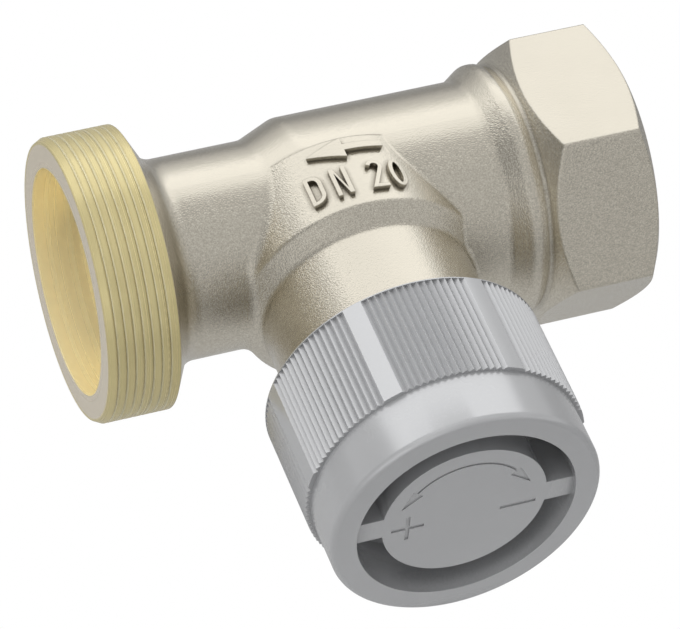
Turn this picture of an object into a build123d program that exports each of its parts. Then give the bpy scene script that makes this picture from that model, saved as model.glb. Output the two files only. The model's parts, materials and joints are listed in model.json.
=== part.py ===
from build123d import *
from math import cos, radians, sin, tan
import os

# Straight radiator valve: X runs along the pipe, the inlet mouth is at the origin and the
# bonnet points along -Y. Heights are measured from the pipe axis along the bonnet.

# Pipe run
body_length = 66.6
inlet_pipe_share = 0.289
outlet_tube_radius = 11.75
body_tube_radius = 13.5
tube_step_start = 8.7
tube_step_end = 4.4
tube_step_rounding = 2.5

# Union end
union_thread_radius = 16.62
union_thread_length = 8.35
union_thread_pitch = 1.033
union_groove_width = 0.36
union_groove_depth = 0.32
union_first_groove = 1.07
union_lead_length = 0.8
union_lead_drop = 0.43
union_back_length = 2.57
union_root_fillet = 2.6
union_bore_radius = 13.2
union_bore_depth = 6.8

# Hexagon end
hex_across_flats = 30.6
hex_face_margin = 0.3
hex_corner_length = 9.15
hex_front_angle = 30.0
hex_back_angle = 34.0
hex_edge_rounding = 0.35
collar_height = 1.45
collar_width = 0.9
collar_rise = 2.2
collar_rounding = 1.2
collar_end_rounding = 0.6
valley_drop = 1.0
valley_width = 1.36
valley_rounding = 0.4
inlet_thread_radius = 12.06
inlet_thread_length = 16.0
inlet_mouth_chamfer = 0.4

# Boss, neck and cap thread
boss_radius = 14.5
boss_height = 10.45
boss_edge_rounding = 0.6
shoulder_height = 2.05
neck_radius = 12.6
neck_root_fillet = 0.8
neck_top = 24.5
cap_thread_flare = 2.4
cap_thread_length = 4.1
cap_thread_chamfer = 0.4
neck_bore_radius = 10.25
inlet_saddle_fillet = 0.8
outlet_saddle_share = 0.58

# Waterway
passage_radius = 9.2
waterway_wall = 2.2
partition_thickness = 2.0
chamber_reach = 9.0
seat_radius = 5.5
seat_lip_width = 1.1
seat_lip_height = 0.8

# Fits and travel
fit_clearance = 0.05
seal_clearance = 0.03
contact_gap = 0.1
stop_clearance = 0.4
valve_lift = 3.0

# Disc end of the spindle
disc_radius = 7.6
disc_thickness = 2.5
disc_exposed = 0.8
holder_wall = 1.0
holder_floor = 2.0
disc_screw_radius = 1.5
disc_screw_head_radius = 2.8
disc_screw_head_height = 1.2
disc_screw_depth = 5.0
disc_washer_radius = 4.2
disc_washer_thickness = 0.6

# Spindle, spring and pin
spindle_radius = 2.5
guide_bush_radius = 4.2
guide_length = 4.0
guide_collar_radius = 5.2
guide_collar_thickness = 0.8
spring_radius = 4.4
spring_wire_radius = 0.5
spring_length = 8.6
spring_turns = 4.5
spring_wire_sides = 6
spring_plate_radius = 6.0
spring_plate_thickness = 1.2
spring_plate_lip = 0.6
retaining_ring_radius = 3.6
retaining_ring_thickness = 0.8
retaining_groove_depth = 0.5
retaining_ring_gap = 3.0
spindle_end_length = 2.1
pin_radius = 2.0
pin_tip_rounding = 0.8
pin_collar_radius = 2.9
pin_collar_height = 1.2
pin_top = 41.5

# Cartridge and gland
housing_skirt_radius = 9.0
housing_skirt_length = 6.0
housing_chamber_radius = 6.3
housing_flange_margin = 1.8
housing_flange_thickness = 1.4
housing_hex_flats = 20.0
housing_hex_height = 3.0
housing_ring_section = 0.74
housing_ring_offset = 2.0
gland_radius = 6.75
gland_bore_radius = 3.4
gland_wall = 1.4
gland_hex_flats = 11.0
gland_ring_section = 0.64
gland_ring_offset = 1.4
ring_chamber_radius = 3.75
spacer_thickness = 0.8
gland_washer_thickness = 0.8
ring_facets = 10

# Hand cap
cap_rim = 24.6
cap_rim_thickness = 0.15
cap_rib_end = 38.3
cap_face = 45.05
cap_inset = 0.22
cap_wall = 1.25
cap_end_step = 0.6
cap_end_rounding = 0.7
cap_thread_clearance = 0.15
cap_mouth_chamfer = 0.4
cap_web_thickness = 1.7
cap_web_clearance = 0.9
cap_ring_width = 3.0
recess_depth = 0.75
post_wall = 2.2
post_clearance = 1.08
spoke_width = 3.0
band_count = 7
band_angle = 7.9
band_first_angle = 65.0
grooves_per_sector = 15
rib_depth = 0.42

# Places worked out from the sizes above
union_x = -body_length
union_edge_x = union_x + union_thread_length
union_back_x = union_edge_x + union_back_length
cap_rib_radius = union_thread_radius - cap_inset
cap_bore_radius = cap_rib_radius - cap_wall
cap_thread_radius = cap_bore_radius - cap_thread_clearance
hex_face_radius = hex_across_flats / 2 - hex_face_margin
hex_corner_radius = hex_across_flats / 2 / cos(radians(30))
collar_radius = body_tube_radius + collar_height
valley_radius = hex_across_flats / 2 - valley_drop
hex_corner_front = -(hex_corner_radius - hex_face_radius) * tan(radians(hex_front_angle))
hex_corner_back = hex_corner_front - hex_corner_length
hex_valley_x = hex_corner_back - (hex_corner_radius - valley_radius) * tan(radians(hex_back_angle))
collar_end_x = hex_valley_x - valley_width
collar_start_x = collar_end_x - collar_width
collar_foot_x = collar_start_x - collar_rise
free_pipe = collar_foot_x - union_back_x - 2 * boss_radius
bonnet_x = collar_foot_x - inlet_pipe_share * free_pipe - boss_radius
bonnet_axis = Axis((bonnet_x, 0, 0), (0, -1, 0))
bonnet_section = Plane(origin=(bonnet_x, 0, 0), x_dir=(1, 0, 0), z_dir=(0, 0, -1))
shoulder_top = boss_height + shoulder_height
outlet_saddle_fillet = outlet_saddle_share * (boss_radius - outlet_tube_radius)
boss_rear = boss_radius + outlet_saddle_fillet
cap_thread_start = neck_top + cap_thread_flare
neck_end = cap_thread_start + cap_thread_length
partition_face = partition_thickness / 2
seat_top = partition_face + seat_lip_height
passage_end = neck_bore_radius + waterway_wall

disc_bottom = seat_top + contact_gap
disc_top = disc_bottom + disc_thickness
holder_radius = disc_radius + seal_clearance + holder_wall
holder_top = disc_top + holder_floor
disc_screw_hole = disc_screw_radius + fit_clearance
disc_washer_bottom = disc_bottom - disc_washer_thickness
disc_screw_bottom = disc_washer_bottom - disc_screw_head_height

housing_bottom = holder_top + valve_lift + stop_clearance
guide_top = housing_bottom + guide_length
chamber_floor = guide_top + guide_collar_thickness
spring_plate_bottom = chamber_floor + spring_length
spring_plate_top = spring_plate_bottom + spring_plate_thickness
spring_lip_bottom = spring_plate_bottom - spring_plate_lip
spring_lip_radius = spring_radius - spring_wire_radius - fit_clearance
retaining_ring_top = spring_plate_top + retaining_ring_thickness
spindle_top = retaining_ring_top + spindle_end_length
gland_bottom = retaining_ring_top + valve_lift + stop_clearance
pin_collar_top = spindle_top + pin_collar_height
gland_bore_top = pin_collar_top + valve_lift + stop_clearance
ring_section = (ring_chamber_radius - pin_radius) / 2 - seal_clearance
ring_middle_radius = (ring_chamber_radius + pin_radius) / 2
ring_slot = 2 * (ring_section + seal_clearance)
lower_ring_floor = gland_bore_top + gland_wall
spacer_floor = lower_ring_floor + ring_slot
upper_ring_floor = spacer_floor + spacer_thickness
washer_floor = upper_ring_floor + ring_slot
gland_top = washer_floor + gland_washer_thickness
housing_radius = neck_bore_radius - fit_clearance
housing_flange_radius = cap_thread_radius - housing_flange_margin
housing_flange_top = neck_end + housing_flange_thickness
housing_top = housing_flange_top + housing_hex_height
housing_ring_middle = housing_bottom + housing_skirt_length + housing_ring_offset
housing_groove_width = 2 * (housing_ring_section + fit_clearance)
housing_groove_radius = neck_bore_radius - 2 * (housing_ring_section + seal_clearance)
gland_seat_radius = gland_radius + fit_clearance
gland_ring_middle = gland_bottom + gland_ring_offset
gland_groove_width = 2 * (gland_ring_section + fit_clearance)
gland_groove_radius = gland_seat_radius - 2 * (gland_ring_section + seal_clearance)

cap_web_bottom = housing_top + cap_web_clearance
slot_floor = cap_web_bottom + cap_web_thickness
post_ceiling = pin_top + contact_gap
post_bore_radius = gland_hex_flats / 2 / cos(radians(30)) + post_clearance
post_radius = post_bore_radius + post_wall
cap_end_radius = cap_rib_radius - cap_end_step
recess_radius = cap_end_radius - cap_ring_width
disc_face = cap_face - recess_depth
sector_angle = 360 / band_count
groove_angle = (sector_angle - band_angle) / grooves_per_sector


def bonnet_plane(height):
    """Plane across the bonnet at a height, with the same X and with Z as its own Y."""
    return Plane(origin=(bonnet_x, -height, 0), x_dir=(1, 0, 0), z_dir=(0, -1, 0))


def ring(inner_radius, outer_radius, bottom, top):
    """Adds a plain ring around the bonnet axis."""
    with BuildSketch(bonnet_plane(bottom)) as section:
        Circle(outer_radius)
        if inner_radius:
            Circle(inner_radius, mode=Mode.SUBTRACT)
    extrude(section.sketch, amount=top - bottom)


def bore(radius, bottom, top):
    """Cuts a round hole along the bonnet axis."""
    with BuildSketch(bonnet_plane(bottom)) as section:
        Circle(radius)
    extrude(section.sketch, amount=top - bottom, mode=Mode.SUBTRACT)


def groove(inner_radius, outer_radius, bottom, top):
    """Cuts a ring-shaped groove around the bonnet axis."""
    with BuildSketch(bonnet_plane(bottom)) as section:
        Circle(outer_radius)
        Circle(inner_radius, mode=Mode.SUBTRACT)
    extrude(section.sketch, amount=top - bottom, mode=Mode.SUBTRACT)


def hexagon(flats, bottom, top):
    """Adds a tool hexagon around the bonnet axis."""
    with BuildSketch(bonnet_plane(bottom)) as section:
        RegularPolygon(flats / 2, 6, major_radius=False)
    extrude(section.sketch, amount=top - bottom)


def seal_ring(middle_radius, section_radius, middle_height):
    """Adds a round-section sealing ring around the bonnet axis."""
    with BuildSketch(bonnet_section) as section:
        with Locations((middle_radius, middle_height)):
            RegularPolygon(section_radius, ring_facets)
    revolve(section.sketch, axis=bonnet_axis)


def pipe_bore(radius, start, end):
    """Cuts a round hole along the pipe axis."""
    with BuildSketch(Plane.YZ.offset(start)) as section:
        Circle(radius)
    extrude(section.sketch, amount=end - start, mode=Mode.SUBTRACT)


def half_chamber(side, start, end):
    """Cuts the half of the waterway that lies on one side of the partition."""
    with BuildSketch(Plane.YZ.offset(start)) as section:
        Circle(passage_radius)
        with Locations((side * (partition_face + passage_radius), 0)):
            Rectangle(2 * passage_radius, 2 * passage_radius, mode=Mode.INTERSECT)
    extrude(section.sketch, amount=end - start, mode=Mode.SUBTRACT)


def polar(radius, angle):
    """Point at a radius and an angle in degrees from X towards Z."""
    return (radius * cos(radians(angle)), radius * sin(radians(angle)))


os.makedirs("parts", exist_ok=True)

# Valve body: hexagon, pipe, boss and neck in one forging
with BuildPart() as valve_body:
    with BuildSketch(Plane.YZ.offset(hex_valley_x)):
        RegularPolygon(hex_across_flats / 2, 6, major_radius=False)
    extrude(amount=-hex_valley_x)
    with BuildSketch(Plane.XZ):
        with BuildLine():
            Polyline(
                (0, 0),
                (0, hex_face_radius),
                (hex_corner_front, hex_corner_radius),
                (hex_corner_back, hex_corner_radius),
                (hex_valley_x, valley_radius),
                (hex_valley_x, 0),
                close=True,
            )
        make_face()
    revolve(axis=Axis.X, mode=Mode.INTERSECT)
    back_edges = valve_body.edges().filter_by(GeomType.HYPERBOLA).group_by(Axis.X)[0]
    corner_edges = valve_body.edges().filter_by(GeomType.LINE)
    fillet(back_edges + corner_edges, hex_edge_rounding)

    with BuildSketch(Plane.XZ) as pipe_profile:
        with BuildLine():
            Polyline(
                (union_x, 0),
                (union_x, outlet_tube_radius),
                (bonnet_x - tube_step_start, outlet_tube_radius),
                (bonnet_x - tube_step_end, body_tube_radius),
                (collar_foot_x, body_tube_radius),
                (collar_start_x, collar_radius),
                (collar_end_x, collar_radius),
                (hex_valley_x, valley_radius),
                (hex_corner_back, valley_radius),
                (hex_corner_back, 0),
                close=True,
            )
        make_face()
        step_corners = pipe_profile.vertices().filter_by_position(
            Axis.X, bonnet_x - tube_step_start, bonnet_x - tube_step_end
        )
        fillet(step_corners, tube_step_rounding)
        collar_corners = pipe_profile.vertices().filter_by_position(
            Axis.X, collar_foot_x, collar_start_x
        )
        fillet(collar_corners, collar_rounding)
        collar_end = pipe_profile.vertices().filter_by_position(Axis.X, collar_end_x, collar_end_x)
        fillet(collar_end, collar_end_rounding)
    revolve(axis=Axis.X)
    circles = valve_body.edges().filter_by(GeomType.CIRCLE)
    fillet(circles.filter_by_position(Axis.X, hex_valley_x, hex_valley_x), valley_rounding)

    with BuildSketch(bonnet_section) as bonnet_profile:
        with BuildLine():
            Polyline(
                (0, -boss_rear),
                (boss_radius, -boss_rear),
                (boss_radius, boss_height),
                (neck_radius, shoulder_top),
                (neck_radius, neck_top),
                (cap_thread_radius, cap_thread_start),
                (cap_thread_radius, neck_end - cap_thread_chamfer),
                (cap_thread_radius - cap_thread_chamfer, neck_end),
                (0, neck_end),
                close=True,
            )
        make_face()
        boss_edge = bonnet_profile.vertices().filter_by_position(Axis.Y, boss_height, boss_height)
        fillet(boss_edge, boss_edge_rounding)
        neck_root = bonnet_profile.vertices().filter_by_position(Axis.Y, shoulder_top, shoulder_top)
        fillet(neck_root, neck_root_fillet)
    revolve(axis=bonnet_axis)

    # The boss first runs right through the pipe, so that its blends close around the pipe,
    # and the half behind the pipe axis is then cleared back to the plain pipe
    saddles = valve_body.edges().filter_by(GeomType.BSPLINE)
    inlet_saddle = saddles.filter_by_position(Axis.X, bonnet_x, collar_foot_x)
    fillet(inlet_saddle, inlet_saddle_fillet)
    saddles = valve_body.edges().filter_by(GeomType.BSPLINE)
    outlet_saddle = saddles.filter_by_position(Axis.X, union_x, bonnet_x - tube_step_end)
    fillet(outlet_saddle, outlet_saddle_fillet)
    with BuildSketch(Plane.XZ):
        with Locations((bonnet_x, 0)):
            Rectangle(2 * boss_rear, 2 * boss_rear)
    extrude(amount=-boss_rear, mode=Mode.SUBTRACT)
    revolve(pipe_profile.sketch, axis=Axis.X)

    with BuildSketch(Plane.XZ) as union_profile:
        with BuildLine():
            Polyline(
                (union_x, 0),
                (union_x, union_thread_radius - union_lead_drop),
                (union_x + union_lead_length, union_thread_radius),
                (union_edge_x, union_thread_radius),
                (union_back_x, outlet_tube_radius),
                (union_back_x + union_root_fillet, outlet_tube_radius),
                (union_back_x + union_root_fillet, 0),
                close=True,
            )
        make_face()
        union_root = union_profile.vertices().filter_by_position(Axis.X, union_back_x, union_back_x)
        fillet(union_root, union_root_fillet)
    revolve(axis=Axis.X)

    groove_run = union_thread_length - union_first_groove - union_groove_width
    with BuildSketch(Plane.XZ):
        for turn in range(1 + int(groove_run / union_thread_pitch)):
            groove_x = union_x + union_first_groove + turn * union_thread_pitch
            with BuildLine():
                Polyline(
                    (groove_x - union_groove_width / 2, union_thread_radius),
                    (groove_x, union_thread_radius - union_groove_depth),
                    (groove_x + union_groove_width / 2, union_thread_radius),
                    close=True,
                )
            make_face()
    revolve(axis=Axis.X, mode=Mode.SUBTRACT)

    pipe_bore(inlet_thread_radius, -inlet_thread_length, 0)
    inlet_mouth = valve_body.edges().group_by(Axis.X)[-1].sort_by(SortBy.RADIUS)[0]
    chamfer(inlet_mouth, inlet_mouth_chamfer)
    pipe_bore(passage_radius, bonnet_x + passage_end, -inlet_thread_length)
    half_chamber(1, bonnet_x - chamber_reach, bonnet_x + passage_end)
    pipe_bore(union_bore_radius, union_x, union_x + union_bore_depth)
    pipe_bore(passage_radius, union_x + union_bore_depth, bonnet_x - passage_end)
    half_chamber(-1, bonnet_x - passage_end, bonnet_x + chamber_reach)
    bore(neck_bore_radius, partition_face, neck_end)
    ring(0, seat_radius + seat_lip_width, partition_face, seat_top)
    bore(seat_radius, -partition_face, seat_top)
valve_body.part.label = "valve_body"
export_step(valve_body.part, "parts/valve_body.step")

# Hand cap: ribbed grip with plain bands, and a slotted end around a central post
with BuildPart() as protective_cap:
    ring(0, cap_rib_radius, cap_rim, cap_rim + cap_rim_thickness)
    with BuildSketch(bonnet_plane(cap_rim + cap_rim_thickness)):
        with BuildLine():
            for band in range(band_count):
                band_middle = band_first_angle + band * sector_angle
                teeth_start = band_middle + band_angle / 2
                teeth = [
                    polar(
                        cap_rib_radius - rib_depth * (step % 2),
                        teeth_start + step * groove_angle / 2,
                    )
                    for step in range(2 * grooves_per_sector + 1)
                ]
                Polyline(*teeth)
                ThreePointArc(
                    teeth[-1],
                    polar(cap_rib_radius, band_middle + sector_angle),
                    polar(cap_rib_radius, teeth_start + sector_angle),
                )
        make_face()
    extrude(amount=cap_rib_end - cap_rim - cap_rim_thickness)
    ring(0, cap_end_radius, cap_rib_end, cap_face)
    face_edge = protective_cap.edges().filter_by(GeomType.CIRCLE).sort_by(Axis.Y)[0]
    fillet(face_edge, cap_end_rounding)
    with BuildSketch(bonnet_plane(slot_floor)):
        Circle(recess_radius)
        Circle(post_radius, mode=Mode.SUBTRACT)
        Rectangle(2 * cap_end_radius, spoke_width, mode=Mode.SUBTRACT)
    extrude(amount=cap_face - slot_floor, mode=Mode.SUBTRACT)
    bore(recess_radius, disc_face, cap_face)
    bore(cap_bore_radius, cap_rim, cap_web_bottom)
    cap_mouth = protective_cap.edges().group_by(Axis.Y)[-1].sort_by(SortBy.RADIUS)[0]
    chamfer(cap_mouth, cap_mouth_chamfer)
    bore(post_bore_radius, cap_web_bottom, post_ceiling)
protective_cap.part.label = "protective_cap"
export_step(protective_cap.part, "parts/protective_cap.step")

# Cartridge screwed into the neck
with BuildPart() as insert_housing:
    ring(0, housing_skirt_radius, housing_bottom, housing_bottom + housing_skirt_length)
    ring(0, housing_radius, housing_bottom + housing_skirt_length, neck_end)
    ring(0, housing_flange_radius, neck_end, housing_flange_top)
    hexagon(housing_hex_flats, housing_flange_top, housing_top)
    groove(
        housing_groove_radius,
        housing_radius,
        housing_ring_middle - housing_groove_width / 2,
        housing_ring_middle + housing_groove_width / 2,
    )
    bore(guide_bush_radius, housing_bottom, guide_top)
    bore(housing_chamber_radius, guide_top, gland_bottom)
    bore(gland_seat_radius, gland_bottom, housing_top)
insert_housing.part.label = "insert_housing"
export_step(insert_housing.part, "parts/insert_housing.step")

with BuildPart() as housing_seal_ring:
    seal_ring(
        (housing_groove_radius + neck_bore_radius) / 2, housing_ring_section, housing_ring_middle
    )
housing_seal_ring.part.label = "housing_seal_ring"
export_step(housing_seal_ring.part, "parts/housing_seal_ring.step")

# Flanged bearing of the spindle, which the spring holds down
with BuildPart() as guide_bush:
    ring(0, guide_bush_radius - seal_clearance, housing_bottom, guide_top)
    ring(0, guide_collar_radius, guide_top, chamber_floor)
    bore(spindle_radius + fit_clearance, housing_bottom, chamber_floor)
guide_bush.part.label = "guide_bush"
export_step(guide_bush.part, "parts/guide_bush.step")

# Gland screw with the chamber of the two pin rings
with BuildPart() as gland_screw:
    ring(0, gland_radius, gland_bottom, housing_top)
    hexagon(gland_hex_flats, housing_top, gland_top)
    groove(
        gland_groove_radius,
        gland_radius,
        gland_ring_middle - gland_groove_width / 2,
        gland_ring_middle + gland_groove_width / 2,
    )
    bore(gland_bore_radius, gland_bottom, gland_bore_top)
    bore(pin_radius + fit_clearance, gland_bore_top, lower_ring_floor)
    bore(ring_chamber_radius, lower_ring_floor, gland_top)
gland_screw.part.label = "gland_screw"
export_step(gland_screw.part, "parts/gland_screw.step")

with BuildPart() as gland_seal_ring:
    seal_ring((gland_groove_radius + gland_seat_radius) / 2, gland_ring_section, gland_ring_middle)
gland_seal_ring.part.label = "gland_seal_ring"
export_step(gland_seal_ring.part, "parts/gland_seal_ring.step")

with BuildPart() as lower_pin_ring:
    seal_ring(ring_middle_radius, ring_section, lower_ring_floor + ring_slot / 2)
lower_pin_ring.part.label = "lower_pin_ring"
export_step(lower_pin_ring.part, "parts/lower_pin_ring.step")

with BuildPart() as upper_pin_ring:
    seal_ring(ring_middle_radius, ring_section, upper_ring_floor + ring_slot / 2)
upper_pin_ring.part.label = "upper_pin_ring"
export_step(upper_pin_ring.part, "parts/upper_pin_ring.step")

with BuildPart() as spacer_ring:
    ring(
        pin_radius + fit_clearance,
        ring_chamber_radius - seal_clearance,
        spacer_floor,
        upper_ring_floor,
    )
spacer_ring.part.label = "spacer_ring"
export_step(spacer_ring.part, "parts/spacer_ring.step")

with BuildPart() as gland_washer:
    ring(pin_radius + fit_clearance, ring_chamber_radius - seal_clearance, washer_floor, gland_top)
gland_washer.part.label = "gland_washer"
export_step(gland_washer.part, "parts/gland_washer.step")

# Spindle with its retaining groove and the tapped hole for the disc screw
with BuildPart() as spindle:
    ring(0, spindle_radius, holder_top, spindle_top)
    groove(
        spindle_radius - retaining_groove_depth, spindle_radius, spring_plate_top, retaining_ring_top
    )
    bore(disc_screw_hole, holder_top, holder_top + disc_screw_depth)
spindle.part.label = "spindle"
export_step(spindle.part, "parts/spindle.step")

with BuildPart() as pressure_pin:
    ring(0, pin_collar_radius, spindle_top, pin_collar_top)
    ring(0, pin_radius, pin_collar_top, pin_top)
    tip_edge = pressure_pin.edges().sort_by(Axis.Y)[0]
    fillet(tip_edge, pin_tip_rounding)
pressure_pin.part.label = "pressure_pin"
export_step(pressure_pin.part, "parts/pressure_pin.step")

# Spring plate with a lip that centres the spring
with BuildPart() as spring_plate:
    ring(0, spring_plate_radius, spring_plate_bottom, spring_plate_top)
    ring(0, spring_lip_radius, spring_lip_bottom, spring_plate_bottom)
    bore(spindle_radius + fit_clearance, spring_lip_bottom, spring_plate_top)
spring_plate.part.label = "spring_plate"
export_step(spring_plate.part, "parts/spring_plate.step")

with BuildPart() as retaining_ring:
    ring(
        spindle_radius - retaining_groove_depth + seal_clearance,
        retaining_ring_radius,
        spring_plate_top,
        retaining_ring_top,
    )
    with BuildSketch(bonnet_plane(spring_plate_top)):
        with Locations((retaining_ring_radius, 0)):
            Rectangle(2 * retaining_ring_radius, retaining_ring_gap)
    extrude(amount=retaining_ring_thickness, mode=Mode.SUBTRACT)
retaining_ring.part.label = "retaining_ring"
export_step(retaining_ring.part, "parts/retaining_ring.step")

# Return spring between the bush collar and the spring plate
spring_rise = spring_length - 2 * (spring_wire_radius + seal_clearance)
spring_start = chamber_floor + spring_wire_radius + seal_clearance
with BuildPart() as return_spring:
    with BuildLine():
        coil = Helix(
            spring_rise / spring_turns,
            spring_rise,
            spring_radius,
            center=(bonnet_x, -spring_start, 0),
            direction=(0, -1, 0),
        )
    with BuildSketch(Plane(origin=coil @ 0, z_dir=coil % 0)):
        RegularPolygon(spring_wire_radius, spring_wire_sides)
    sweep(path=coil, is_frenet=True)
return_spring.part.label = "return_spring"
export_step(return_spring.part, "parts/return_spring.step")

# Cup that carries the sealing disc
with BuildPart() as disc_holder:
    ring(0, holder_radius, disc_bottom + disc_exposed, holder_top)
    bore(disc_radius + seal_clearance, disc_bottom + disc_exposed, disc_top)
    bore(disc_screw_hole, disc_top, holder_top)
disc_holder.part.label = "disc_holder"
export_step(disc_holder.part, "parts/disc_holder.step")

with BuildPart() as seat_disc:
    ring(disc_screw_hole, disc_radius, disc_bottom, disc_top)
seat_disc.part.label = "seat_disc"
export_step(seat_disc.part, "parts/seat_disc.step")

with BuildPart() as disc_washer:
    ring(disc_screw_hole, disc_washer_radius, disc_washer_bottom, disc_bottom)
disc_washer.part.label = "disc_washer"
export_step(disc_washer.part, "parts/disc_washer.step")

with BuildPart() as disc_screw:
    ring(0, disc_screw_head_radius, disc_screw_bottom, disc_washer_bottom)
    ring(0, disc_screw_radius, disc_washer_bottom, holder_top + disc_screw_depth - contact_gap)
disc_screw.part.label = "disc_screw"
export_step(disc_screw.part, "parts/disc_screw.step")
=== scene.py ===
import bmesh
import bpy
import json
from math import cos, pi, radians, sin
from mathutils import Matrix, Vector


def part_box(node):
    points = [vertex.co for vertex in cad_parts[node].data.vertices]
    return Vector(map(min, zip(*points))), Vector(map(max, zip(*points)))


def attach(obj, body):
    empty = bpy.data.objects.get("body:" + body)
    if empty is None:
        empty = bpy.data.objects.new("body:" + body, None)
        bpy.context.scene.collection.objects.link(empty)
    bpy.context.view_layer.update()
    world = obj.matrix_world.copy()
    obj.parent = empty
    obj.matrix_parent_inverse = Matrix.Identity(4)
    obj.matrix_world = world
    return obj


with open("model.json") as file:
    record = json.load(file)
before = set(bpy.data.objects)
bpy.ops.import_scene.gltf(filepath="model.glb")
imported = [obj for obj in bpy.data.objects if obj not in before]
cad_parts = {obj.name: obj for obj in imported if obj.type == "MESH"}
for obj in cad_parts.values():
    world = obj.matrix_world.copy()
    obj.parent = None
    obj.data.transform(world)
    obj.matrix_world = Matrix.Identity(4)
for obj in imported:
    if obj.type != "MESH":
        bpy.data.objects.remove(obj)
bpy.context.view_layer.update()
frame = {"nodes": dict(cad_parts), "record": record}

MM = 0.001

# Places read from the frame, in metres
body_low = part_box("valve_body")[0]
cap_low, cap_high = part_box("protective_cap")
union_face_x = body_low.x
bonnet_x = (cap_low.x + cap_high.x) / 2
cap_face_y = cap_low.y

# Union and inlet ends
union_thread_length = 8.35 * MM
union_thread_radius = 16.62 * MM
union_land_radius = 15.9 * MM
union_lead_length = 0.8 * MM
union_bore_radius = 13.2 * MM
union_bore_depth = 6.8 * MM
inlet_thread_radius = 12.06 * MM
inlet_thread_length = 16.0 * MM
inlet_thread_pitch = 1.81 * MM
inlet_thread_depth = 0.6 * MM
passage_radius = 9.2 * MM
neck_bore_radius = 10.25 * MM
zone_edge = 0.08 * MM
bore_slack = 2 * zone_edge

# Plated skin of the body: pitted on its sides, polished towards the top and back
nickel_deep = (0.68, 0.638, 0.545, 1)
nickel_light = (0.70, 0.657, 0.562, 1)
# Painted highlight on the plated body's edges
nickel_edge_highlight = (0.88, 0.82, 0.70, 1)
pit_bottom = (0.65, 0.60, 0.505, 1)
pit_crest = (1.0, 0.95, 0.82, 1)
pit_band = (0.5, 0.9)
pit_size = 0.16
pit_depth = 0.09 * MM
pit_strength = 0.8
pit_level = 0.7
plating_patch = 7.0
plating_roughness = (0.13, 0.18)
polished_side = (0, 0.35, 0.94)
polished_band = (0.7, 0.92)
polish_most = 0.6
pitting_most = 0.45
body_edge_width = 0.3 * MM
body_edge_highlight = 0.3

# Machined places of the body
cut_face_metal = (0.75, 0.67, 0.53, 1)
cut_face_dullness = 0.55
bore_brasses = (1.0, 0.87, 0.53, 1), (1.0, 0.90, 0.57, 1)
thread_brasses = (0.66, 0.565, 0.285, 1), (0.72, 0.625, 0.325, 1)
# Painted highlight on thread groove flanks that face the union end, painted shade on the others
flank_shaded = (0.50, 0.42, 0.20, 1)
flank_painted_highlight = (1.0, 0.95, 0.68, 1)
flank_band = (-0.1, 0.1)
machined_roughness = (0.22, 0.32)
pipe_ring_spacing = 0.14
# Painted shade in the plated corners and creases
corner_painted_shade = (0.10, 0.085, 0.06, 1)
corner_shade_reach = 0.7 * MM
corner_shade_gain = 1.7
corner_shade_most = 0.85

# Turned metal inside the bonnet
bonnet_ring_spacing = 0.1
ring_depth = 0.01 * MM
ring_strength = 0.5
turned_edge_width = 0.12 * MM
# Painted highlight on the edges of turned metal
turned_edge_highlight = 0.4
turned_edge_highlight_metal = (0.95, 0.92, 0.86, 1)
metal_edge_gain = 3.0

# Moulded plastic and rubber
moulded_patch = 9.0
moulded_grain_strength = 0.3
moulded_edge_width = 0.08 * MM
moulded_edge_gain = 2.5
# Painted highlight on moulded edges
moulded_edge_highlight = 0.5
moulded_edge_lightening = 1.25
# Painted shade and more roughness in moulded corners
moulded_corner_reach = 3.0 * MM
moulded_corner_gain = 1.2
moulded_corner_share = 0.5
moulded_corner_darkening = 0.35
moulded_corner_roughness = 0.35

# How far a tone and a gloss follow the patches of a skin
tone_band = (0.3, 0.7)
gloss_band = (0.25, 0.75)

# Raised marks on the boss
boss_radius = 14.5 * MM
mark_rise = 0.58 * MM
mark_root = 0.25 * MM
mark_edge = 0.04 * MM
mark_edge_steps = 2
mark_edge_angle = radians(40)
weld_gap = 0.001 * MM
wrap_step = 0.35 * MM
sharpest_mitre = 0.35

# Size mark
letter_height = 4.15 * MM
letter_width = 1.85 * MM
letter_stroke = 0.48 * MM
letter_base_y = -8.75 * MM
letter_inset = letter_stroke / 2
letter_right = letter_width - letter_inset
letter_top = letter_height - letter_inset
letter_d_left = -5.97 * MM
letter_d_bowl = 0.55 * letter_width
letter_n_left = -2.99 * MM
letter_n_drop = 1.9 * letter_stroke
digit_two_left = 1.16 * MM
digit_two_hook = (165, -25)
digit_zero_left = 3.67 * MM
corner_steps = 6
hook_steps = 10
oval_steps = 28

# Flow arrow
arrow_middle_y = -1.95 * MM
arrow_tip = -4.6 * MM
arrow_head_base = -0.25 * MM
arrow_tail = 4.3 * MM
arrow_head_half = 1.45 * MM
arrow_shaft_half = 0.45 * MM

# Sunk marks on the cap's disc
disc_sink = 0.75 * MM
sunk_depth = 0.16 * MM
cap_crisp_angle = radians(28)
turn_arc_radius = 7.5 * MM
turn_arc_width = 0.28 * MM
turn_arc_ends = (39.7, 141.5)
turn_arc_steps = 36
turn_head_tips = (17.5, 163.0)
turn_head_tip_radius = 7.9 * MM
turn_head_radii = (6.6 * MM, 8.05 * MM)
sign_stroke = 0.45 * MM
plus_centre = (-6.6 * MM, -0.95 * MM)
plus_half = 1.9 * MM
minus_centre = (6.35 * MM, -1.1 * MM)
minus_half = 2.1 * MM

# Floor, and its levels as a reflection shows them
floor_size = 4
floor_gap = 0.3 * MM
floor_colour = (0.72, 0.72, 0.72, 1)
floor_near = 25 * MM
floor_far = 90 * MM
floor_near_level = 0.50
floor_far_level = 0.34

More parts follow.
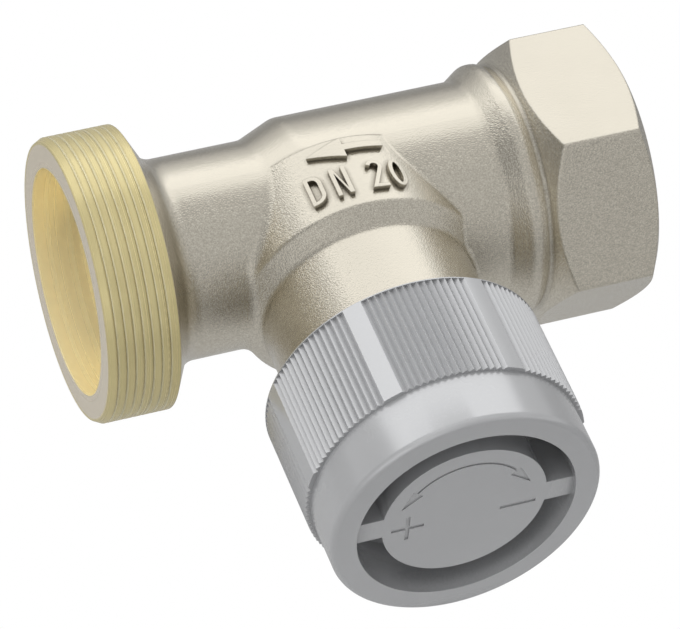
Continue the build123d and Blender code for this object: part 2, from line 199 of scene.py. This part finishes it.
# Levels of the studio around the valve
studio_level = 0.51
horizon_level = 0.53
horizon_band = (-0.1, 0.3)
studio_patches = {
    "pale_back": ((0.25, 0.95, 0.10), 0.72),
    "dark_left": ((-0.95, 0.0, 0.45), 0.27),
    "pale_front_left": ((-0.45, -0.85, 0.35), 0.62),
}
patch_edges = (0.72, 0.92)
room_patch_scale = 7.0
room_patch_band = (0.35, 0.65)
patch_swing = 0.5
front_band = (-0.35, 0.0)

# Camera of the photograph's view
camera_place = (-0.18123, -0.34530, 0.40089)
camera_azimuth = radians(23.305)
camera_down = radians(47.962)
camera_roll = radians(5.324)
camera_lens = 252.02
camera_sensor = 36
camera_nearest = 0.01


# What the finishes are made of

def put(tree, kind, settings=None, **sockets):
    """Adds a shader node with its own settings, and fills its sockets with values or links."""
    node = tree.nodes.new("ShaderNode" + kind)
    for name, value in (settings or {}).items():
        setattr(node, name, value)
    for name, value in sockets.items():
        fill(tree, node.inputs[name.replace("_", " ")], value)
    return node


def fill(tree, socket, value):
    """Links a socket to another one, or sets its own value."""
    if isinstance(value, bpy.types.NodeSocket):
        tree.links.new(value, socket)
    else:
        socket.default_value = value


def calc(tree, operation, *values):
    """Puts out one step of arithmetic."""
    node = put(tree, "Math", {"operation": operation})
    for socket, value in zip(node.inputs, values):
        fill(tree, socket, value)
    return node.outputs["Value"]


def both(tree, first, second):
    """Product of two masks, or of a mask and a value."""
    return calc(tree, "MULTIPLY", first, second)


def largest(tree, first, *others):
    """Mask of all the places that any of several masks covers."""
    for other in others:
        first = calc(tree, "MAXIMUM", first, other)
    return first


def dot(tree, first, second):
    """Puts out how far two directions agree."""
    node = put(tree, "VectorMath", {"operation": "DOT_PRODUCT"})
    fill(tree, node.inputs[0], first)
    fill(tree, node.inputs[1], second)
    return node.outputs["Value"]


def ramp(tree, value, low, high, start, end):
    """Puts out a smooth change from start to end as a value goes from low to high."""
    node = put(
        tree, "MapRange", {"interpolation_type": "SMOOTHSTEP"},
        Value=value, From_Min=low, From_Max=high, To_Min=start, To_Max=end,
    )
    return node.outputs["Result"]


def below(tree, value, limit):
    """Mask of the places where a value lies under a limit."""
    return ramp(tree, value, limit - zone_edge, limit + zone_edge, 1.0, 0.0)


def above(tree, value, limit):
    """Mask of the places where a value lies over a limit."""
    return ramp(tree, value, limit - zone_edge, limit + zone_edge, 0.0, 1.0)


def blend(tree, factor, first, second):
    """Mixes two colours by a mask."""
    node = put(tree, "Mix", {"data_type": "RGBA"}, Factor=factor, A=first, B=second)
    return node.outputs["Result"]


def blend_value(tree, factor, first, second):
    """Mixes two plain values by a mask."""
    node = put(tree, "Mix", {"data_type": "FLOAT"}, Factor=factor, A=first, B=second)
    return node.outputs["Result"]


def two_tone(tree, patches, dark, pale):
    """Colour that goes from dark to pale over the patches of a skin."""
    return blend(tree, ramp(tree, patches, *tone_band, 0.0, 1.0), dark, pale)


def gloss(tree, patches, smooth, rough):
    """Roughness that goes from smooth to rough over the patches of a skin."""
    return ramp(tree, patches, *gloss_band, smooth, rough)


def object_place(tree):
    """Place on the valve, in the frame's metres."""
    return put(tree, "TexCoord").outputs["Object"]


def from_axis(tree, centre_x, along):
    """Gives the place along an axis, and the two places across it."""
    moved = put(tree, "VectorMath", {"operation": "SUBTRACT"})
    fill(tree, moved.inputs[0], object_place(tree))
    moved.inputs[1].default_value = (centre_x, 0, 0)
    parts = put(tree, "SeparateXYZ", Vector=moved.outputs["Vector"]).outputs
    return parts[along], [parts[name] for name in "XYZ" if name != along]


def radius_of(tree, across):
    """Distance from an axis."""
    squares = [calc(tree, "POWER", part, 2.0) for part in across]
    return calc(tree, "SQRT", calc(tree, "ADD", *squares))


def turn_of(tree, across):
    """Turn around an axis, in radians."""
    return calc(tree, "ARCTAN2", across[1], across[0])


def new_group(name, inputs, outputs):
    """Starts a shader node group with plain number inputs and named outputs."""
    group = bpy.data.node_groups.new(name, "ShaderNodeTree")
    for title, value in inputs.items():
        socket = group.interface.new_socket(
            title, in_out="INPUT", socket_type="NodeSocketFloat"
        )
        socket.default_value = value
    for title, kind in outputs.items():
        group.interface.new_socket(title, in_out="OUTPUT", socket_type="NodeSocket" + kind)
    given = group.nodes.new("NodeGroupInput").outputs
    result = group.nodes.new("NodeGroupOutput").inputs
    return group, given, result


def use_group(tree, group, **values):
    """Places a node group with its own values and gives its outputs."""
    return put(tree, "Group", {"node_tree": group}, **values).outputs


def make_grain():
    """Fine pitted grain of a forged, blasted or moulded skin, and its broad patches."""
    group, given, result = new_group(
        "skin_grain", {"Size": 0.3, "Patch": 6.0}, {"Height": "Float", "Patches": "Float"}
    )
    coarse_share, coarse_weight = 0.45, 0.4
    place = object_place(group)
    fine_scale = calc(group, "DIVIDE", 1 / MM, given["Size"])
    fine = put(group, "TexNoise", Vector=place, Scale=fine_scale, Detail=2.0, Roughness=0.5)
    coarse_scale = calc(group, "MULTIPLY", fine_scale, coarse_share)
    coarse = put(group, "TexNoise", Vector=place, Scale=coarse_scale, Detail=2.0)
    height = calc(
        group, "MULTIPLY_ADD", coarse.outputs["Fac"], coarse_weight, fine.outputs["Fac"]
    )
    group.links.new(height, result["Height"])
    patch_scale = calc(group, "DIVIDE", 1 / MM, given["Patch"])
    patches = put(
        group, "TexNoise", Vector=place, Scale=patch_scale, Detail=4.0, Roughness=0.55
    )
    group.links.new(patches.outputs["Fac"], result["Patches"])
    return group


def make_edge_highlight_and_rounding():
    """Mask of the outer edges, broken up a little, where a highlight is painted, and the normal of
    slightly rounded edges.
    """
    group, given, result = new_group(
        "edge_highlight_and_rounding",
        {"Width": 0.25 * MM, "Gain": 4.0},
        {"Edge": "Float", "Normal": "Vector"},
    )
    edge_light_scale, edge_light_band, edge_light_least = 0.9 / MM, (0.3, 0.65), 0.25
    soft = put(group, "Bevel", {"samples": 4}, Radius=given["Width"]).outputs["Normal"]
    sharp = put(group, "NewGeometry").outputs["Normal"]
    bend = calc(group, "SUBTRACT", 1.0, dot(group, soft, sharp))
    place = object_place(group)
    patchy_edge_light = put(group, "TexNoise", Vector=place, Scale=edge_light_scale, Detail=3.0).outputs["Fac"]
    broken = ramp(group, patchy_edge_light, *edge_light_band, edge_light_least, 1.0)
    lit_edges = both(group, both(group, bend, given["Gain"]), broken)
    group.links.new(calc(group, "MINIMUM", lit_edges, 1.0), result["Edge"])
    group.links.new(soft, result["Normal"])
    return group


def make_tool_rings():
    """Fine rings that a turning tool leaves around an axis, and their broader tone."""
    group, given, result = new_group(
        "tool_rings",
        {"Along": 0.0, "Radius": 0.0, "Spacing": 0.12},
        {"Height": "Float", "Tone": "Float"},
    )
    broad_share = 0.16
    scale = calc(group, "DIVIDE", 1 / MM, given["Spacing"])
    steps = put(group, "CombineXYZ", X=given["Along"], Y=given["Radius"]).outputs["Vector"]
    rings = put(group, "TexNoise", Vector=steps, Scale=scale, Detail=2.0)
    group.links.new(rings.outputs["Fac"], result["Height"])
    broad_scale = calc(group, "MULTIPLY", scale, broad_share)
    broad = put(group, "TexNoise", Vector=steps, Scale=broad_scale, Detail=3.0)
    group.links.new(broad.outputs["Fac"], result["Tone"])
    return group


def make_crevice():
    """Mask of the corners and gaps that little open space reaches, for painted shade."""
    group, given, result = new_group(
        "crevice", {"Reach": 1.0 * MM, "Gain": 1.0}, {"Shade": "Float"}
    )
    hidden = put(group, "AmbientOcclusion", {"samples": 8}, Distance=given["Reach"])
    closed = calc(group, "SUBTRACT", 1.0, hidden.outputs["AO"])
    shade = calc(group, "MINIMUM", both(group, closed, given["Gain"]), 1.0)
    group.links.new(shade, result["Shade"])
    return group


skin_grain = make_grain()
edge_highlight_and_rounding = make_edge_highlight_and_rounding()
crevice = make_crevice()
tool_rings = make_tool_rings()


# Finishes

def new_material(name):
    """Starts an empty material and gives its tree and its main shader."""
    material = bpy.data.materials.new(name)
    material.use_nodes = True
    tree = material.node_tree
    return material, tree, tree.nodes["Principled BSDF"]


def bump(tree, height, distance, strength, normal):
    """Turns a height into a normal, on top of another normal."""
    node = put(
        tree, "Bump", Height=height, Distance=distance, Strength=strength, Normal=normal
    )
    return node.outputs["Normal"]


def machined_zones(tree):
    """Masks of the machined places on the body, and the tool rings around its pipe."""
    pipe_x, pipe_across = from_axis(tree, 0, "X")
    pipe_radius = radius_of(tree, pipe_across)
    bonnet_y, bonnet_across = from_axis(tree, bonnet_x, "Y")
    bonnet_radius = radius_of(tree, bonnet_across)

    near_union = below(tree, pipe_x, union_face_x + union_thread_length)
    land = both(tree, near_union, above(tree, pipe_radius, union_land_radius))
    in_bore = below(tree, pipe_radius, union_bore_radius + zone_edge)
    bore_end = union_face_x + union_bore_depth + zone_edge
    bore = both(tree, in_bore, below(tree, pipe_x, bore_end))
    in_inlet = below(tree, pipe_radius, inlet_thread_radius + bore_slack)
    inlet = both(tree, in_inlet, above(tree, pipe_x, -inlet_thread_length - zone_edge))
    passage = below(tree, pipe_radius, passage_radius + bore_slack)
    in_neck = below(tree, bonnet_radius, neck_bore_radius + bore_slack)
    neck = both(tree, in_neck, below(tree, bonnet_y, 0))
    at_face = below(tree, pipe_x, union_face_x + zone_edge)
    face = both(tree, at_face, calc(tree, "SUBTRACT", 1.0, bore))
    beyond_lead = above(tree, pipe_x, union_face_x + union_lead_length)
    under_crest = below(tree, pipe_radius, union_thread_radius - zone_edge)

    pitches = calc(tree, "DIVIDE", pipe_x, inlet_thread_pitch)
    part_turn = calc(tree, "DIVIDE", turn_of(tree, pipe_across), 2 * pi)
    turns = calc(tree, "ADD", pitches, part_turn)
    flank = calc(tree, "MULTIPLY", calc(tree, "PINGPONG", turns, 0.5), 2.0)

    zones = {
        "bare": largest(tree, land, bore, inlet, passage, neck),
        "matt": largest(tree, face, land, bore),
        "land": land,
        "groove": both(tree, land, both(tree, beyond_lead, under_crest)),
        "inlet_thread": both(tree, flank, inlet),
    }
    rings = use_group(
        tree, tool_rings, Along=pipe_x, Radius=pipe_radius, Spacing=pipe_ring_spacing
    )
    return zones, rings


def plated_colour(tree, skin, edges, upper):
    """Nickel that is pitted on the body's sides, plain on its polished side, with a painted
    highlight at edges.
    """
    nickel = two_tone(tree, skin["Patches"], nickel_deep, nickel_light)
    on_sides = ramp(tree, upper, *polished_band, pitting_most, 0.0)
    crests = ramp(tree, skin["Height"], *pit_band, 0.0, 1.0)
    blasted = blend(tree, crests, pit_bottom, pit_crest)
    pitted = blend(tree, on_sides, nickel, blasted)
    # Painted highlight on the edges
    return blend(tree, both(tree, edges["Edge"], body_edge_highlight), pitted, nickel_edge_highlight)


def machined_colour(tree, zones, rings, plated, facing_x):
    """Cut faces, brass bores and thread set into the plating, with painted shade in plated corners
    and a painted highlight and painted shade on the thread's groove flanks.
    """
    cut_face = blend(tree, zones["matt"], plated, cut_face_metal)
    bore_brass = two_tone(tree, rings["Tone"], *bore_brasses)
    thread_brass = two_tone(tree, rings["Tone"], *thread_brasses)
    brass = blend(tree, zones["land"], bore_brass, thread_brass)
    clean = blend(tree, zones["bare"], cut_face, brass)
    # Painted shade in the plated corners, none on the bare machined places
    corners = use_group(tree, crevice, Reach=corner_shade_reach, Gain=corner_shade_gain)
    painted_shade_share = blend_value(tree, zones["bare"], corner_shade_most, 0.0)
    corner_shaded = blend(tree, both(tree, corners["Shade"], painted_shade_share), clean, corner_painted_shade)
    # Painted highlight on groove flanks facing the union end, painted shade on the others
    towards_union = ramp(tree, facing_x, *flank_band, 1.0, 0.0)
    flanks = blend(tree, towards_union, flank_shaded, flank_painted_highlight)
    return blend(tree, zones["groove"], corner_shaded, flanks)


def nickel_forging(name, edge_width):
    """Satin nickel over a blasted forging, with bare brass at the machined ends."""
    material, tree, shader = new_material(name)
    zones, rings = machined_zones(tree)
    skin = use_group(tree, skin_grain, Size=pit_size, Patch=plating_patch)
    edges = use_group(tree, edge_highlight_and_rounding, Width=edge_width, Gain=metal_edge_gain)
    outward = put(tree, "NewGeometry").outputs["Normal"]
    facing = put(tree, "SeparateXYZ", Vector=outward).outputs
    upper = dot(tree, outward, polished_side)

    plated = plated_colour(tree, skin, edges, upper)
    colour = machined_colour(tree, zones, rings, plated, facing["X"])
    fill(tree, shader.inputs["Base Color"], colour)
    metal = calc(tree, "MULTIPLY_ADD", zones["matt"], -cut_face_dullness, 1.0)
    fill(tree, shader.inputs["Metallic"], metal)

    cut = largest(tree, zones["bare"], zones["matt"])
    satin = gloss(tree, skin["Patches"], *plating_roughness)
    machined = gloss(tree, rings["Tone"], *machined_roughness)
    fill(tree, shader.inputs["Roughness"], blend_value(tree, cut, satin, machined))

    polished = ramp(tree, upper, *polished_band, 0.0, polish_most)
    pits = blend_value(tree, largest(tree, cut, polished), skin["Height"], pit_level)
    pit_normal = bump(tree, pits, pit_depth, pit_strength, edges["Normal"])
    cut_rings = both(tree, rings["Height"], cut)
    ring_normal = bump(tree, cut_rings, ring_depth, ring_strength, pit_normal)
    thread_normal = bump(tree, zones["inlet_thread"], inlet_thread_depth, 1.0, ring_normal)
    fill(tree, shader.inputs["Normal"], thread_normal)
    return material


def turned_metal(name, dark, pale, smooth, rough):
    """Bare metal turned around the bonnet axis, with a painted highlight on its edges."""
    material, tree, shader = new_material(name)
    height, across = from_axis(tree, bonnet_x, "Y")
    radius = radius_of(tree, across)
    rings = use_group(
        tree, tool_rings, Along=height, Radius=radius, Spacing=bonnet_ring_spacing
    )
    edges = use_group(tree, edge_highlight_and_rounding, Width=turned_edge_width, Gain=metal_edge_gain)
    tone = two_tone(tree, rings["Tone"], dark, pale)
    # Painted highlight on the edges
    patchy_edge_light = both(tree, edges["Edge"], turned_edge_highlight)
    fill(tree, shader.inputs["Base Color"], blend(tree, patchy_edge_light, tone, turned_edge_highlight_metal))
    shader.inputs["Metallic"].default_value = 1.0
    fill(tree, shader.inputs["Roughness"], gloss(tree, rings["Tone"], smooth, rough))
    normal = bump(tree, rings["Height"], ring_depth, ring_strength, edges["Normal"])
    fill(tree, shader.inputs["Normal"], normal)
    return material


def scaled(colour, factor):
    """A colour made lighter or darker."""
    return tuple(min(1.0, factor * part) for part in colour[:3]) + (1,)


def moulded(name, dark, pale, smooth, rough, grain_size, grain_depth, lustre=0.0):
    """Moulded plastic or rubber with a faint skin grain, a painted highlight on its edges, and
    painted shade and more roughness in its corners.
    """
    material, tree, shader = new_material(name)
    skin = use_group(tree, skin_grain, Size=grain_size, Patch=moulded_patch)
    edges = use_group(tree, edge_highlight_and_rounding, Width=moulded_edge_width, Gain=moulded_edge_gain)
    corners = use_group(
        tree, crevice, Reach=moulded_corner_reach, Gain=moulded_corner_gain
    )
    tone = two_tone(tree, skin["Patches"], dark, pale)
    # Painted highlight on the edges
    patchy_edge_light = both(tree, edges["Edge"], moulded_edge_highlight)
    edge_lit_tone = blend(tree, patchy_edge_light, tone, scaled(pale, moulded_edge_lightening))
    # Painted shade in the corners
    corner_shade_mask = both(tree, corners["Shade"], moulded_corner_share)
    corner_shaded_tone = blend(tree, corner_shade_mask, edge_lit_tone, scaled(dark, moulded_corner_darkening))
    fill(tree, shader.inputs["Base Color"], corner_shaded_tone)
    shader.inputs["Metallic"].default_value = lustre
    polish = gloss(tree, skin["Patches"], smooth, rough)
    dulled = calc(
        tree, "MULTIPLY_ADD", corners["Shade"], moulded_corner_roughness, polish
    )
    fill(tree, shader.inputs["Roughness"], dulled)
    normal = bump(
        tree, skin["Height"], grain_depth, moulded_grain_strength, edges["Normal"]
    )
    fill(tree, shader.inputs["Normal"], normal)
    return material


finishes = {
    "nickel_plated_body": nickel_forging("nickel_plated_body", body_edge_width),
    "bare_brass": turned_metal(
        "bare_brass",
        dark=(0.76, 0.58, 0.26, 1), pale=(0.86, 0.70, 0.36, 1), smooth=0.22, rough=0.36,
    ),
    "stainless_steel": turned_metal(
        "stainless_steel",
        dark=(0.58, 0.58, 0.59, 1), pale=(0.70, 0.70, 0.71, 1), smooth=0.2, rough=0.34,
    ),
    "seal_rubber": moulded(
        "seal_rubber",
        dark=(0.022, 0.022, 0.024, 1), pale=(0.034, 0.034, 0.036, 1), smooth=0.55, rough=0.7,
        grain_size=0.2, grain_depth=0.02 * MM,
    ),
    "guide_plastic": moulded(
        "guide_plastic",
        dark=(0.74, 0.73, 0.69, 1), pale=(0.80, 0.79, 0.75, 1), smooth=0.35, rough=0.48,
        grain_size=0.3, grain_depth=0.01 * MM,
    ),
    "cap_plastic": moulded(
        "cap_plastic",
        dark=(0.575, 0.58, 0.59, 1), pale=(0.59, 0.595, 0.605, 1), smooth=0.2, rough=0.25,
        grain_size=0.25, grain_depth=0.003 * MM, lustre=0.55,
    ),
}


# Marks

def strip(path, width, closed=False):
    """Four-sided faces of a flat stroke that follows a path in the plane."""
    count = len(path)
    rails = []
    for index, point in enumerate(path):
        before = path[index - 1] if closed or index else None
        after = path[(index + 1) % count] if closed or index < count - 1 else None
        turns = [(point - before).normalized()] if before is not None else []
        turns += [(after - point).normalized()] if after is not None else []
        heading = sum(turns, Vector((0, 0))).normalized()
        side = Vector((-heading.y, heading.x))
        reach = width / 2 / max(sharpest_mitre, heading.dot(turns[0]))
        rails.append((point + side * reach, point - side * reach))
    following = rails[1:] + rails[:1] if closed else rails[1:]
    return [
        (left, right, next_right, next_left)
        for (left, right), (next_left, next_right) in zip(rails, following)
    ]


def arc(centre, radius, start, end, steps):
    """Points on an arc in the plane, angles in degrees, with one radius for each way."""
    angles = [radians(start + (end - start) * step / steps) for step in range(steps + 1)]
    return [
        Vector((centre[0] + radius[0] * cos(angle), centre[1] + radius[1] * sin(angle)))
        for angle in angles
    ]


def letter_d():
    """A capital D as one closed stroke."""
    bowl = (letter_d_bowl, letter_d_bowl)
    bowl_x = letter_right - letter_d_bowl
    path = [Vector((letter_inset, letter_top)), Vector((letter_inset, letter_inset))]
    path += arc((bowl_x, letter_inset + letter_d_bowl), bowl, -90, 0, corner_steps)
    path += arc((bowl_x, letter_top - letter_d_bowl), bowl, 0, 90, corner_steps)
    return strip(path, letter_stroke, closed=True)


def letter_n():
    """A capital N as one outline."""
    wide, high, stroke = letter_width, letter_height, letter_stroke
    diagonal_top = high - letter_n_drop
    lower = [(0, 0), (stroke, 0), (stroke, diagonal_top), (wide - stroke, 0), (wide, 0)]
    outline = lower + [(wide - x, high - y) for x, y in lower]
    return [tuple(Vector(point) for point in outline)]


def digit_two():
    """A figure 2 as one open stroke."""
    bowl = (letter_right - letter_inset) / 2
    centre = (letter_inset + bowl, letter_top - bowl)
    path = arc(centre, (bowl, bowl), *digit_two_hook, hook_steps)
    path += [
        Vector((letter_inset, letter_inset)),
        Vector((letter_right + letter_inset, letter_inset)),
    ]
    return strip(path, letter_stroke)


def digit_zero():
    """A figure 0 as one closed stroke."""
    halves = ((letter_width - letter_stroke) / 2, (letter_height - letter_stroke) / 2)
    centre = (letter_width / 2, letter_height / 2)
    oval = arc(centre, halves, 0, 360, oval_steps)[:-1]
    return strip(oval, letter_stroke, closed=True)


def flow_arrow():
    """A plain arrow towards the union end."""
    upper = [
        (arrow_tail, arrow_shaft_half),
        (arrow_head_base, arrow_shaft_half),
        (arrow_head_base, arrow_head_half),
    ]
    lower = [(x, -y) for x, y in reversed(upper)]
    return [tuple(Vector(point) for point in upper + [(arrow_tip, 0)] + lower)]


def turn_arrow():
    """A thin arc with a head at each end, as the parts of one outline."""
    spread = (turn_arc_radius, turn_arc_radius)
    line = arc((0, 0), spread, *turn_arc_ends, turn_arc_steps)
    faces = strip(line, turn_arc_width)
    arc_ends = faces[0][:2], faces[-1][2:]
    for end, tip in zip(arc_ends, turn_head_tips):
        middle = (end[0] + end[1]) / 2
        outward = middle.normalized()
        inner, outer = [outward * radius for radius in turn_head_radii]
        point = Vector((cos(radians(tip)), sin(radians(tip)))) * turn_head_tip_radius
        near, far = sorted(end, key=lambda corner: corner.length)
        faces.append((point, outer, far, near, inner))
    return faces


def plus_sign():
    """A plus as one outline."""
    thin, long = sign_stroke / 2, plus_half
    quarter = [(thin, thin), (thin, long), (-thin, long)]
    outline = []
    for turn in range(4):
        spin = Matrix.Rotation(turn * pi / 2, 2)
        outline += [spin @ Vector(point) + Vector(plus_centre) for point in quarter]
    return [tuple(outline)]


def minus_sign():
    """A minus as one outline."""
    corners = [(minus_half, sign_stroke / 2), (-minus_half, sign_stroke / 2)]
    corners += [(-x, -y) for x, y in corners]
    return [tuple(Vector(point) + Vector(minus_centre) for point in corners)]


def cut_across(work, step):
    """Cuts flat faces into narrow bands, so that they can follow a round."""
    reach = [vert.co.x for vert in work.verts]
    start, end = min(reach), max(reach)
    for cut in range(1, int((end - start) / step) + 1):
        everything = work.verts[:] + work.edges[:] + work.faces[:]
        bmesh.ops.bisect_plane(
            work, geom=everything, plane_co=(start + cut * step, 0, 0), plane_no=(1, 0, 0)
        )


def mark_piece(name, faces, place, low, high, step=None):
    """Makes a solid mark from flat faces, set on a surface between two heights."""
    mesh = bpy.data.meshes.new(name)
    work = bmesh.new()
    for face in faces:
        work.faces.new([work.verts.new((point.x, point.y, 0)) for point in face])
    bmesh.ops.remove_doubles(work, verts=work.verts, dist=weld_gap)
    if step:
        cut_across(work, step)
    raised = bmesh.ops.extrude_face_region(work, geom=work.faces[:])["geom"]
    tops = {part for part in raised if isinstance(part, bmesh.types.BMVert)}
    for vert in work.verts:
        vert.co = place(vert.co.x, vert.co.y, high if vert in tops else low)
    bmesh.ops.recalc_face_normals(work, faces=work.faces[:])
    work.to_mesh(mesh)
    work.free()
    piece = bpy.data.objects.new(name, mesh)
    bpy.context.scene.collection.objects.link(piece)
    return piece


def on_boss(left, base):
    """Places a mark on the boss, from a left edge along the round and a base line on the bonnet."""
    def place(across, along, height):
        turn = (left + across) / boss_radius
        radius = boss_radius + height
        return Vector((bonnet_x + radius * sin(turn), base + along, radius * cos(turn)))
    return place


def on_disc(across, up, height):
    """Places a mark on the cap's disc."""
    return Vector((bonnet_x + across, cap_face_y + disc_sink - height, up))


def add_boss_marks():
    """Size mark and flow arrow, raised on the forging."""
    mark_finish = nickel_forging("nickel_raised_marks", mark_edge)
    letters = {
        "size_mark_d": (letter_d(), letter_d_left),
        "size_mark_n": (letter_n(), letter_n_left),
        "size_mark_2": (digit_two(), digit_two_left),
        "size_mark_0": (digit_zero(), digit_zero_left),
    }
    marks = [
        mark_piece(name, faces, on_boss(left, letter_base_y), -mark_root, mark_rise)
        for name, (faces, left) in letters.items()
    ]
    arrow_place = on_boss(0, arrow_middle_y)
    marks.append(
        mark_piece("flow_arrow", flow_arrow(), arrow_place, -mark_root, mark_rise, wrap_step)
    )
    for mark in marks:
        rounding = mark.modifiers.new("cast_edge", "BEVEL")
        rounding.width = mark_edge
        rounding.segments = mark_edge_steps
        rounding.angle_limit = mark_edge_angle
        mark.data.materials.append(mark_finish)
        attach(mark, "valve")


def add_cap_marks():
    """Turning arrow and signs, sunk into the cap's disc, with crisp edges on all of the cap."""
    cap = frame["nodes"]["protective_cap"]
    weld = cap.modifiers.new("join_facets", "WELD")
    weld.merge_threshold = weld_gap
    signs = {
        "turn_arrow": turn_arrow(), "plus_sign": plus_sign(), "minus_sign": minus_sign()
    }
    for name, faces in signs.items():
        cutter = mark_piece(name + "_cutter", faces, on_disc, -sunk_depth, sunk_depth)
        cutter.hide_render = True
        cutter.hide_viewport = True
        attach(cutter, "cap")
        sunk = cap.modifiers.new(name, "BOOLEAN")
        sunk.operation = "DIFFERENCE"
        sunk.solver = "EXACT"
        sunk.object = cutter
    crisp = cap.modifiers.new("crisp_edges", "EDGE_SPLIT")
    crisp.split_angle = cap_crisp_angle


# Stage

def add_floor():
    """Pale floor that is white to the camera, and in a reflection grey and darker further out."""
    bpy.ops.mesh.primitive_plane_add(
        size=floor_size, location=(bonnet_x, 0, body_low.z - floor_gap)
    )
    floor = bpy.context.object
    floor.name = "floor"
    material = bpy.data.materials.new("pale_floor")
    material.use_nodes = True
    tree = material.node_tree
    tree.nodes.remove(tree.nodes["Principled BSDF"])
    matt = put(tree, "BsdfDiffuse", Color=floor_colour)
    ray = put(tree, "LightPath").outputs
    mirrored = largest(tree, ray["Is Glossy Ray"], ray["Is Transmission Ray"])
    length = put(tree, "VectorMath", {"operation": "LENGTH"}, Vector=object_place(tree))
    distance = length.outputs["Value"]
    reflected = ramp(
        tree, distance, floor_near, floor_far, floor_near_level, floor_far_level
    )
    white = put(tree, "Emission", Strength=blend_value(tree, mirrored, 1.0, reflected))
    seen = largest(tree, ray["Is Camera Ray"], mirrored)
    mix = put(tree, "MixShader", Fac=seen)
    tree.links.new(matt.outputs["BSDF"], mix.inputs[1])
    tree.links.new(white.outputs["Emission"], mix.inputs[2])
    tree.links.new(mix.outputs["Shader"], tree.nodes["Material Output"].inputs["Surface"])
    floor.data.materials.append(material)


def add_world():
    """Soft grey studio with pale and dark walls, and a patchy room in front of the cap."""
    world = bpy.data.worlds.new("studio")
    bpy.context.scene.world = world
    world.use_nodes = True
    tree = world.node_tree
    place = put(tree, "TexCoord").outputs["Generated"]
    parts = put(tree, "SeparateXYZ", Vector=place).outputs
    level = ramp(tree, parts["Z"], *horizon_band, horizon_level, studio_level)
    for direction, level_there in studio_patches.values():
        facing = dot(tree, place, Vector(direction).normalized())
        near = ramp(tree, facing, *patch_edges, 0.0, 1.0)
        level = blend_value(tree, near, level, level_there)
    room = put(tree, "TexNoise", Vector=place, Scale=room_patch_scale, Detail=1.0)
    swing = ramp(
        tree, room.outputs["Fac"], *room_patch_band, 1.0 - patch_swing, 1.0 + patch_swing
    )
    in_front = ramp(tree, parts["Y"], *front_band, 1.0, 0.0)
    level = both(tree, level, blend_value(tree, in_front, 1.0, swing))
    background = tree.nodes["Background"].inputs
    fill(tree, background["Strength"], level)
    background["Color"].default_value = (1, 1, 1, 1)


def add_lamp(name, direction, distance, width, height, radiance, mirrored=True):
    """Soft lamp that looks at the bonnet's foot and has a given brightness."""
    aim = Vector((bonnet_x, 0, 0))
    lamp = bpy.data.lights.new(name, "AREA")
    lamp.shape = "RECTANGLE"
    lamp.size = width
    lamp.size_y = height
    lamp.energy = radiance * pi * width * height
    holder = bpy.data.objects.new(name, lamp)
    bpy.context.scene.collection.objects.link(holder)
    way = Vector(direction).normalized()
    holder.location = aim + way * distance
    holder.rotation_euler = way.to_track_quat("Z", "Y").to_euler()
    holder.visible_camera = False
    holder.visible_glossy = mirrored


def add_lamps():
    """A wide softbox behind and above, an overhead fill and a weak fill on the union side."""
    add_lamp(
        "back_softbox", direction=(0.06, 0.72, 0.69), distance=0.8,
        width=1.52, height=0.64, radiance=0.67,
    )
    add_lamp(
        "overhead_fill", direction=(-0.36, -0.05, 0.93), distance=0.9,
        width=0.6, height=0.6, radiance=3.5, mirrored=False,
    )
    add_lamp(
        "union_side_fill", direction=(-0.80, -0.35, 0.50), distance=0.9,
        width=0.6, height=0.6, radiance=1.0, mirrored=False,
    )


def add_camera():
    """Camera at the photograph's viewing angle."""
    look = Vector((
        sin(camera_azimuth) * cos(camera_down),
        cos(camera_azimuth) * cos(camera_down),
        -sin(camera_down),
    ))
    level_right = Vector((cos(camera_azimuth), -sin(camera_azimuth), 0))
    level_up = level_right.cross(look)
    right = level_right * cos(camera_roll) + level_up * sin(camera_roll)
    up = right.cross(look)
    camera = bpy.data.objects.new("camera", bpy.data.cameras.new("camera"))
    camera.data.lens = camera_lens
    camera.data.sensor_width = camera_sensor
    camera.data.clip_start = camera_nearest
    turn = Matrix((right, up, -look)).transposed().to_4x4()
    camera.matrix_world = Matrix.Translation(camera_place) @ turn
    bpy.context.scene.collection.objects.link(camera)
    bpy.context.scene.camera = camera


def dress_nodes():
    """Gives every node of the frame the finish that its record names."""
    for part in frame["record"]["subparts"]:
        for slot in frame["nodes"][part["node"]].material_slots:
            slot.material = finishes[part["material_slot"]]


dress_nodes()
add_boss_marks()
add_cap_marks()
add_floor()
add_world()
add_lamps()
add_camera()

bpy.context.scene.view_settings.view_transform = "Standard"
